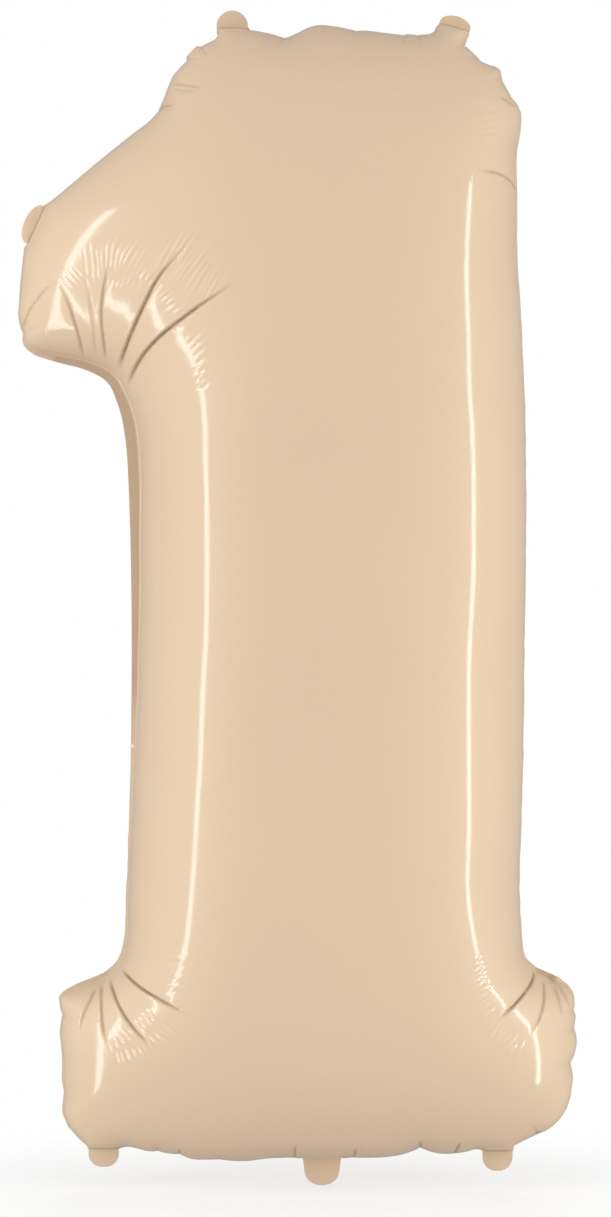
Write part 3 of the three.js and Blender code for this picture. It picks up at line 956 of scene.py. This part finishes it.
def film_object(name, plan, side, seed):
    """One film with its border, inflated and pleated. side is 1 for the front, -1 the back."""
    bm, body = film_mesh(plan, side, seed)
    rng = np.random.default_rng(seed)
    nicks = nick_pleats(rng)
    refine(bm, nicks)
    places = np.array([tuple(v.co) for v in bm.verts])
    is_body = np.array([v[body] > 0.999 for v in bm.verts])
    flat = places[is_body][:, [0, 2]]
    depth = plan.depth(flat)
    on_weld = depth < 0.05
    inflated = -side * (plan.offset_at(flat) + depth)
    places[is_body, 1] = np.where(on_weld, places[is_body, 1], inflated)
    for vertex, place in zip(bm.verts, places):
        vertex.co = place
    bm.normal_update()
    normals = np.array([tuple(v.normal) for v in bm.verts])
    if (normals[is_body][:, 1] * -side).sum() < 0:
        bmesh.ops.reverse_faces(bm, faces=bm.faces)
        normals = -normals
    # The pucker attribute carries painted highlight on the crests and painted shade in the dips.
    lift, painted_pucker_light = np.zeros(len(places)), np.zeros(len(places))
    lift[is_body], painted_pucker_light[is_body] = film_lift(flat, depth, PLEATS + nicks, rng)
    places = places + normals * lift[:, None]
    # Painted shade in the folds, carried by the fold attribute.
    fold = np.zeros(len(places))
    fold[is_body] = fold_shade(flat, depth, PLEATS)
    for vertex, place in zip(bm.verts, places):
        vertex.co = place
    obj = linked(name, bm)
    for label, values in (("fold", fold), ("painted_pucker_light", painted_pucker_light)):
        obj.data.attributes.new(label, "FLOAT", "POINT").data.foreach_set("value", values)
    return obj


# ------------------------------------------------------------------ flaps, tail and valve

def linked(name, bm):
    """A mesh object made from a bmesh in millimetres, smooth, with its place in its mesh."""
    for vertex in bm.verts:
        vertex.co *= MM
    for face in bm.faces:
        face.smooth = True
    mesh = bpy.data.meshes.new(name)
    bm.to_mesh(mesh)
    bm.free()
    obj = bpy.data.objects.new(name, mesh)
    bpy.context.scene.collection.objects.link(obj)
    return obj


def tongue(width, tip_width, length, rounding, across=26, up=18):
    """A flat tongue of film with a round tip: x across it and y from its root to its tip."""
    bm = bmesh.new()
    bmesh.ops.create_grid(bm, x_segments=across, y_segments=up, size=1)
    round_across, round_along = rounding
    for vertex in bm.verts:
        u = math.sin(math.pi / 2 * vertex.co.x)
        v = (vertex.co.y + 1) / 2
        corner = max(0.0, abs(u) * tip_width / 2 - (tip_width / 2 - round_across)) / round_across
        reach = length - round_along * (1 - math.sqrt(max(0.0, 1 - corner ** 2)))
        half = (width + (tip_width - width) * v) / 2
        vertex.co = Vector((u * half, v * reach, 0))
    return bm


def fold_of(body):
    """The fold line that a flap or tail turns about: a point on it, and the way out over it."""
    joint = next(j for j in frame["joints"] if j["child"] == body)
    axis = Vector(joint["axis"])
    return Vector(joint["pos_m"]), Vector((axis.z, 0, -axis.x)), axis


def stand_up(bm, middle, out, along):
    """Turns a tongue's own x, y and z to run along the fold, outwards and backwards."""
    back = Vector((0, 1, 0))
    for vertex in bm.verts:
        x, y, z = vertex.co
        vertex.co = middle + along * x + out * y + back * z


def flap_object(flap):
    """One flap, cupped and curled, and the name of its body among the frame's joints."""
    body = flap["name"] + "_flap"
    _, out, along = fold_of(body)
    width = flap["width"] - 0.8
    bm = tongue(width, width, flap["length"] + FLAP_ROOT, flap["round"])
    half = flap["width"] / 2
    for vertex in bm.verts:
        u, v = vertex.co.x / half, max(0.0, vertex.co.y - FLAP_ROOT) / flap["length"]
        vertex.co.z = flap["cup"] * (u * u - 0.35) * min(1, 2.5 * v) * v + flap["curl"] * v * v
        vertex.co.z += 0.12 * math.sin(9 * u + 4 * v) * v
    middle = Vector((flap["x"], 0, flap["z"])) - out * FLAP_ROOT
    stand_up(bm, middle, out, along)
    bmesh.ops.recalc_face_normals(bm, faces=bm.faces)
    obj = linked(flap["name"] + "_flap_skin", bm)
    wall = obj.modifiers.new("Two plies", "SOLIDIFY")
    wall.thickness = 0.0005
    wall.offset = 0
    return obj, body


def tail_object(name, side):
    """One ply of the tail, bowed away from the other. side is 1 for the front, -1 the back."""
    _, out, along = fold_of("tail")
    bm = tongue(TAIL_WIDTH, TAIL_TIP, TAIL_LENGTH + TAIL_ROOT, TAIL_ROUND, 30, 24)
    for vertex in bm.verts:
        u = vertex.co.x / (TAIL_WIDTH / 2)
        v = max(0.0, vertex.co.y - TAIL_ROOT) / TAIL_FREE
        open_up = (1 - u * u) * math.sin(math.pi * min(1, v)) ** 0.7 if v > 0 else 0
        ease = 1 - 0.75 * smoothstep(0.55, 1.0, v)
        vertex.co.z = -side * ((NECK_OFFSET + 0.25) * ease + TAIL_OPENING * open_up)
    middle = Vector((NECK_X, 0, BASE_EDGE + TAIL_ROOT))
    stand_up(bm, middle, out, along)
    obj = linked(name, bm)
    wall = obj.modifiers.new("Film", "SOLIDIFY")
    wall.thickness = 0.00012
    wall.offset = 0
    return obj


# ------------------------------------------------------------------ finishes

def group_with(name, inputs, outputs):
    group = bpy.data.node_groups.new(name, "ShaderNodeTree")
    for label, kind, value in inputs:
        socket = group.interface.new_socket(label, in_out="INPUT", socket_type=kind)
        socket.default_value = value
    for label, kind in outputs:
        group.interface.new_socket(label, in_out="OUTPUT", socket_type=kind)
    return group, group.nodes.new("NodeGroupInput"), group.nodes.new("NodeGroupOutput")


def noise(nodes, links, coords, scale, detail):
    node = nodes.new("ShaderNodeTexNoise")
    node.inputs["Scale"].default_value = scale
    node.inputs["Detail"].default_value = detail
    links.new(coords, node.inputs["Vector"])
    return node.outputs["Fac"]


def maths(nodes, links, operation, first, second):
    node = nodes.new("ShaderNodeMath")
    node.operation = operation
    for socket, value in zip(node.inputs, (first, second)):
        if isinstance(value, (int, float)):
            socket.default_value = value
        else:
            links.new(value, socket)
    return node.outputs[0]


def lacquer_tone_and_shade_group():
    """Colour of a lacquered film: broad soft clouds and a fine grain over the base colour, with
    painted shade on the face-on weld border and in the folds, and painted highlight on the
    puckers' crests and painted shade in their dips."""
    group, start, end = group_with(
        "Lacquer Tone And Painted Shade",
        [("Color", "NodeSocketColor", (0.8, 0.65, 0.5, 1)), ("Clouds", "NodeSocketFloat", 0.05),
         ("Grain", "NodeSocketFloat", 0.03), ("Roughness", "NodeSocketFloat", 0.35),
         ("Weld", "NodeSocketFloat", 0.24), ("Fold Shade", "NodeSocketFloat", 0.55),
         ("Pucker Light", "NodeSocketFloat", -0.13)],
        [("Color", "NodeSocketColor"), ("Roughness", "NodeSocketFloat")],
    )
    nodes, links = group.nodes, group.links
    darker = []
    # Painted shade on the face-on weld border and in the folds, painted highlight and shade on the
    # puckers.
    for label, socket in (("weld", "Weld"), ("fold", "Fold Shade"), ("painted_pucker_light", "Pucker Light")):
        attribute = nodes.new("ShaderNodeAttribute")
        attribute.attribute_name = label
        darker.append(maths(nodes, links, "MULTIPLY", attribute.outputs["Fac"],
                            start.outputs[socket]))
    coords = nodes.new("ShaderNodeTexCoord").outputs["Object"]
    clouds = maths(nodes, links, "SUBTRACT", noise(nodes, links, coords, 7.0, 3.0), 0.5)
    grain = maths(nodes, links, "SUBTRACT", noise(nodes, links, coords, 420.0, 2.0), 0.5)
    shift = maths(
        nodes, links, "ADD",
        maths(nodes, links, "MULTIPLY", clouds, start.outputs["Clouds"]),
        maths(nodes, links, "MULTIPLY", grain, start.outputs["Grain"]),
    )
    tone = nodes.new("ShaderNodeHueSaturation")
    weld, fold, painted_pucker_light = darker
    dark = maths(nodes, links, "ADD", maths(nodes, links, "ADD", weld, fold), painted_pucker_light)
    shade = maths(nodes, links, "SUBTRACT", 1.0, dark)
    # The painted shade in the folds is also more saturated.
    links.new(maths(nodes, links, "ADD", 1.0, maths(nodes, links, "MULTIPLY", fold, 0.6)),
              tone.inputs["Saturation"])
    links.new(maths(nodes, links, "ADD", shift, shade), tone.inputs["Value"])
    links.new(start.outputs["Color"], tone.inputs["Color"])
    links.new(tone.outputs["Color"], end.inputs["Color"])
    rough = maths(nodes, links, "ADD", start.outputs["Roughness"],
                  maths(nodes, links, "MULTIPLY", clouds, 0.08))
    links.new(rough, end.inputs["Roughness"])
    return group


def film_ripple_group():
    """Height of a film's faint unevenness: slow waves and the texture of the lacquer."""
    group, start, end = group_with(
        "Film Ripple",
        [("Waves", "NodeSocketFloat", 1.0), ("Texture", "NodeSocketFloat", 0.1)],
        [("Height", "NodeSocketFloat")],
    )
    nodes, links = group.nodes, group.links
    coords = nodes.new("ShaderNodeTexCoord").outputs["Object"]
    waves = maths(nodes, links, "MULTIPLY", noise(nodes, links, coords, 16.0, 1.5),
                  start.outputs["Waves"])
    texture = maths(nodes, links, "MULTIPLY", noise(nodes, links, coords, 260.0, 2.0),
                    start.outputs["Texture"])
    links.new(maths(nodes, links, "ADD", waves, texture), end.inputs["Height"])
    return group


def place_group(nodes, name, **values):
    node = nodes.new("ShaderNodeGroup")
    node.node_tree = bpy.data.node_groups[name]
    for label, value in values.items():
        node.inputs[label].default_value = value
    return node


def lacquered_film(name, color, roughness, coat, coat_roughness, clouds=0.05):
    """Opaque cream lacquer over foil: satin underneath, glossy on top."""
    material = bpy.data.materials.new(name)
    material.use_nodes = True
    nodes, links = material.node_tree.nodes, material.node_tree.links
    shader = nodes["Principled BSDF"]
    tone = place_group(nodes, "Lacquer Tone And Painted Shade", Color=color, Clouds=clouds, Grain=0.035,
                       Roughness=roughness)
    links.new(tone.outputs["Color"], shader.inputs["Base Color"])
    links.new(tone.outputs["Roughness"], shader.inputs["Roughness"])
    shader.inputs["Metallic"].default_value = 0.12
    shader.inputs["Specular IOR Level"].default_value = 0.3
    shader.inputs["Coat Weight"].default_value = coat
    shader.inputs["Coat Roughness"].default_value = coat_roughness
    ripple = place_group(nodes, "Film Ripple", Waves=1.0, Texture=0.02)
    bump = nodes.new("ShaderNodeBump")
    bump.inputs["Strength"].default_value = 0.15
    bump.inputs["Distance"].default_value = 0.0012
    links.new(ripple.outputs["Height"], bump.inputs["Height"])
    links.new(bump.outputs["Normal"], shader.inputs["Normal"])
    return material


def milky_film(name):
    """Thin frosted plastic of the valve."""
    material = bpy.data.materials.new(name)
    material.use_nodes = True
    nodes, links = material.node_tree.nodes, material.node_tree.links
    shader = nodes["Principled BSDF"]
    tone = place_group(nodes, "Lacquer Tone And Painted Shade", Color=(0.84, 0.81, 0.75, 1), Clouds=0.04,
                       Grain=0.03, Roughness=0.3)
    links.new(tone.outputs["Color"], shader.inputs["Base Color"])
    links.new(tone.outputs["Roughness"], shader.inputs["Roughness"])
    shader.inputs["Transmission Weight"].default_value = 0.45
    shader.inputs["IOR"].default_value = 1.45
    return material


# ------------------------------------------------------------------ settings

class BalloonFilmSettings(bpy.types.PropertyGroup):
    """Sizes of the balloon's two films."""

    edge_spacing: bpy.props.FloatProperty(
        name="Edge spacing", description="Distance between the ribs along the cut edge",
        default=0.0036, min=0.001, max=0.01, subtype="DISTANCE", unit="LENGTH")
    fullness: bpy.props.FloatProperty(
        name="Fullness", description="Half depth of the inflated stem over its half width",
        default=0.7, min=0.1, max=1.0, subtype="FACTOR")


class BalloonFinishSettings(bpy.types.PropertyGroup):
    """Colours and gloss of the lacquered foil."""

    film_color: bpy.props.FloatVectorProperty(
        name="Film colour", description="Cream lacquer of the two films",
        default=(0.80, 0.605, 0.425), min=0, max=1, size=3, subtype="COLOR")
    flap_color: bpy.props.FloatVectorProperty(
        name="Flap colour", description="Lacquer of the welded flaps and the tail",
        default=(0.77, 0.585, 0.41), min=0, max=1, size=3, subtype="COLOR")
    roughness: bpy.props.FloatProperty(
        name="Roughness", description="Roughness of the satin under the gloss",
        default=0.55, min=0, max=1, subtype="FACTOR")
    coat_roughness: bpy.props.FloatProperty(
        name="Gloss roughness", description="Roughness of the clear gloss on top",
        default=0.09, min=0, max=1, subtype="FACTOR")


class BalloonStageSettings(bpy.types.PropertyGroup):
    """Camera and light of the studio."""

    camera_distance: bpy.props.FloatProperty(
        name="Camera distance", description="From the camera to the plane of the seam",
        default=2.704, min=1, max=10, subtype="DISTANCE", unit="LENGTH")
    lens: bpy.props.FloatProperty(
        name="Lens", description="Focal length of the camera",
        default=100.0, min=20, max=300, subtype="DISTANCE_CAMERA")
    strip_power: bpy.props.FloatProperty(
        name="Strip light power", description="Power of each tall narrow light",
        default=10.5, min=0, max=200, subtype="POWER", unit="POWER")
    panel_power: bpy.props.FloatProperty(
        name="Panel light power", description="Power of each soft side light",
        default=17.0, min=0, max=200, subtype="POWER", unit="POWER")


# ------------------------------------------------------------------ operators

class OBJECT_OT_balloon_finishes(bpy.types.Operator):
    """Make the lacquered foil and the frosted valve film"""

    bl_idname = "object.balloon_finishes"
    bl_label = "Film Finishes"

    def execute(self, context):
        finish = context.scene.balloon_finish
        lacquer_tone_and_shade_group()
        film_ripple_group()
        lacquered_film("satin_foil", (*finish.film_color, 1), finish.roughness, 0.55,
                       finish.coat_roughness)
        lacquered_film("welded_foil", (*finish.flap_color, 1), finish.roughness, 0.5,
                       finish.coat_roughness + 0.05, clouds=0.08)
        milky_film("valve_film")
        return {"FINISHED"}


class OBJECT_OT_balloon_films(bpy.types.Operator):
    """Inflate the front and back film around their frame nodes"""

    bl_idname = "object.balloon_films"
    bl_label = "Front and Back Film"

    def execute(self, context):
        plan = FilmPlan(context.scene.balloon_film)
        for node, ply, side, seed in (("front_film", "tail_front_ply", 1, 3),
                                      ("back_film", "tail_back_ply", -1, 8)):
            film = film_object(node + "_skin", plan, side, seed)
            film.data.materials.append(bpy.data.materials["satin_foil"])
            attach(film, "envelope")
            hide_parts(node)
            on_it = [flap["name"] + "_flap_skin" for flap in FLAPS] if side > 0 else []
            on_it.append(ply + "_skin")
        return {"FINISHED"}


class OBJECT_OT_balloon_flaps(bpy.types.Operator):
    """Make the welded flaps, each standing out from its own fold line"""

    bl_idname = "object.balloon_flaps"
    bl_label = "Hanging Flaps"

    def execute(self, context):
        for flap in FLAPS:
            obj, body = flap_object(flap)
            obj.data.materials.append(bpy.data.materials[flap["finish"]])
            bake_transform(obj)
            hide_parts(flap["name"] + "_tab")
        return {"FINISHED"}


class OBJECT_OT_balloon_tail(bpy.types.Operator):
    """Make the two plies of the inflation tail"""

    bl_idname = "object.balloon_tail"
    bl_label = "Inflation Tail"

    def execute(self, context):
        for node, side in (("tail_front_ply", 1), ("tail_back_ply", -1)):
            obj = tail_object(node + "_skin", side)
            obj.data.materials.append(bpy.data.materials["satin_foil"])
            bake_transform(obj)
            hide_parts(node)
        return {"FINISHED"}


class OBJECT_OT_balloon_valve(bpy.types.Operator):
    """Give the valve's two films their frosted plastic"""

    bl_idname = "object.balloon_valve"
    bl_label = "Valve Films"

    def execute(self, context):
        for node in ("valve_front_film", "valve_back_film"):
            mesh = frame["nodes"][node].data
            mesh.materials.clear()
            mesh.materials.append(bpy.data.materials["valve_film"])
        return {"FINISHED"}


def aim(obj, target):
    """Turns a light to face a place."""
    direction = Vector(target) - obj.location
    obj.rotation_euler = direction.to_track_quat("-Z", "Y").to_euler()


def area_light(name, place, target, size, power):
    light = bpy.data.lights.new(name, "AREA")
    light.shape = "RECTANGLE"
    light.size, light.size_y = size
    light.energy = power
    obj = bpy.data.objects.new(name, light)
    bpy.context.scene.collection.objects.link(obj)
    obj.location = place
    aim(obj, target)
    return obj


def pale_surroundings():
    """White behind the balloon, and a dimmer room for the foil to reflect."""
    world = bpy.data.worlds.new("studio")
    bpy.context.scene.world = world
    world.use_nodes = True
    nodes, links = world.node_tree.nodes, world.node_tree.links
    ray = nodes.new("ShaderNodeLightPath")
    mix = nodes.new("ShaderNodeMix")
    mix.data_type = "RGBA"
    mix.inputs["A"].default_value = (0.36, 0.356, 0.351, 1)
    mix.inputs["B"].default_value = (1, 1, 1, 1)
    links.new(ray.outputs["Is Camera Ray"], mix.inputs["Factor"])
    links.new(mix.outputs["Result"], nodes["Background"].inputs["Color"])


class OBJECT_OT_balloon_stage(bpy.types.Operator):
    """Set up the floor, the lights and the camera"""

    bl_idname = "object.balloon_stage"
    bl_label = "Studio"

    def execute(self, context):
        stage = context.scene.balloon_stage
        bm = bmesh.new()
        bmesh.ops.create_circle(bm, cap_ends=True, radius=0.62 / MM, segments=96)
        floor = linked("floor", bm)
        floor.data.materials.append(soft_floor())
        middle = (STEM_MIDDLE * MM * 0.3, 0, 0.461)
        area_light("left_strip", (-1.75, -1.0, 0.4), middle, (0.09, 2.4), stage.strip_power)
        area_light("right_strip", (1.86, -0.70, 0.3), middle, (0.08, 2.2), stage.strip_power)
        power = stage.panel_power
        soft = (
            area_light("left_panel", (-1.9, -1.0, 0.6), middle, (1.1, 1.9), power),
            area_light("right_panel", (1.9, -0.9, 0.6), middle, (1.1, 1.9), power),
            area_light("top_panel", (-0.2, -1.0, 2.5), middle, (1.6, 1.2), power * 0.75),
            area_light("low_panel", (0.0, -1.5, -1.0), middle, (1.6, 0.8), power * 0.5),
            area_light("back_panel", (0.3, 2.4, 1.3), middle, (1.6, 1.6), power * 1.8),
        )
        for light in soft:
            light.visible_glossy = False
            light.visible_camera = False
        floor.visible_glossy = False
        pale_surroundings()
        camera = bpy.data.cameras.new("camera")
        camera.lens = stage.lens
        camera.sensor_width = 36.0
        holder = bpy.data.objects.new("camera", camera)
        context.scene.collection.objects.link(holder)
        holder.location = (0.0064, -stage.camera_distance, 0.461)
        holder.rotation_euler = (math.pi / 2, 0, 0)
        context.scene.camera = holder
        context.scene.view_settings.view_transform = "Standard"
        return {"FINISHED"}


def soft_floor():
    """Pale matt paper that fades out away from the balloon."""
    material = bpy.data.materials.new("pale_paper")
    material.use_nodes = True
    nodes, links = material.node_tree.nodes, material.node_tree.links
    shader = nodes["Principled BSDF"]
    shader.inputs["Base Color"].default_value = (0.93, 0.93, 0.93, 1)
    shader.inputs["Roughness"].default_value = 0.8
    coords = nodes.new("ShaderNodeTexCoord").outputs["Object"]
    gradient = nodes.new("ShaderNodeTexGradient")
    gradient.gradient_type = "SPHERICAL"
    scale = nodes.new("ShaderNodeMapping")
    scale.inputs["Scale"].default_value = (1.7, 3.2, 1.7)
    links.new(coords, scale.inputs["Vector"])
    links.new(scale.outputs["Vector"], gradient.inputs["Vector"])
    ramp = nodes.new("ShaderNodeMapRange")
    ramp.interpolation_type = "SMOOTHSTEP"
    ramp.inputs["From Min"].default_value = 0.0
    ramp.inputs["From Max"].default_value = 0.8
    ramp.inputs["To Max"].default_value = 0.3
    links.new(gradient.outputs["Fac"], ramp.inputs["Value"])
    links.new(ramp.outputs["Result"], shader.inputs["Alpha"])
    return material


class VIEW3D_PT_balloon(bpy.types.Panel):
    """Lists the steps that build the balloon"""

    bl_idname = "VIEW3D_PT_balloon"
    bl_label = "Foil Number Balloon"
    bl_space_type = "VIEW_3D"
    bl_region_type = "UI"
    bl_category = "Balloon"

    def draw(self, context):
        layout = self.layout
        for settings in (context.scene.balloon_film, context.scene.balloon_finish,
                         context.scene.balloon_stage):
            for name in settings.__annotations__:
                layout.prop(settings, name)
        for operator in OPERATORS:
            layout.operator(operator.bl_idname)


OPERATORS = (
    OBJECT_OT_balloon_finishes,
    OBJECT_OT_balloon_films,
    OBJECT_OT_balloon_flaps,
    OBJECT_OT_balloon_tail,
    OBJECT_OT_balloon_valve,
    OBJECT_OT_balloon_stage,
)
SETTINGS = {
    "balloon_film": BalloonFilmSettings,
    "balloon_finish": BalloonFinishSettings,
    "balloon_stage": BalloonStageSettings,
}


def register():
    for cls in (*SETTINGS.values(), *OPERATORS, VIEW3D_PT_balloon):
        bpy.utils.register_class(cls)
    for name, cls in SETTINGS.items():
        setattr(bpy.types.Scene, name, bpy.props.PointerProperty(type=cls))


def unregister():
    for name in SETTINGS:
        delattr(bpy.types.Scene, name)
    for cls in reversed((*SETTINGS.values(), *OPERATORS, VIEW3D_PT_balloon)):
        bpy.utils.unregister_class(cls)


def main():
    register()
    bpy.ops.object.balloon_finishes()
    bpy.ops.object.balloon_flaps()
    bpy.ops.object.balloon_tail()
    bpy.ops.object.balloon_films()
    bpy.ops.object.balloon_valve()
    bpy.ops.object.balloon_stage()


if __name__ == "__main__":
    main()
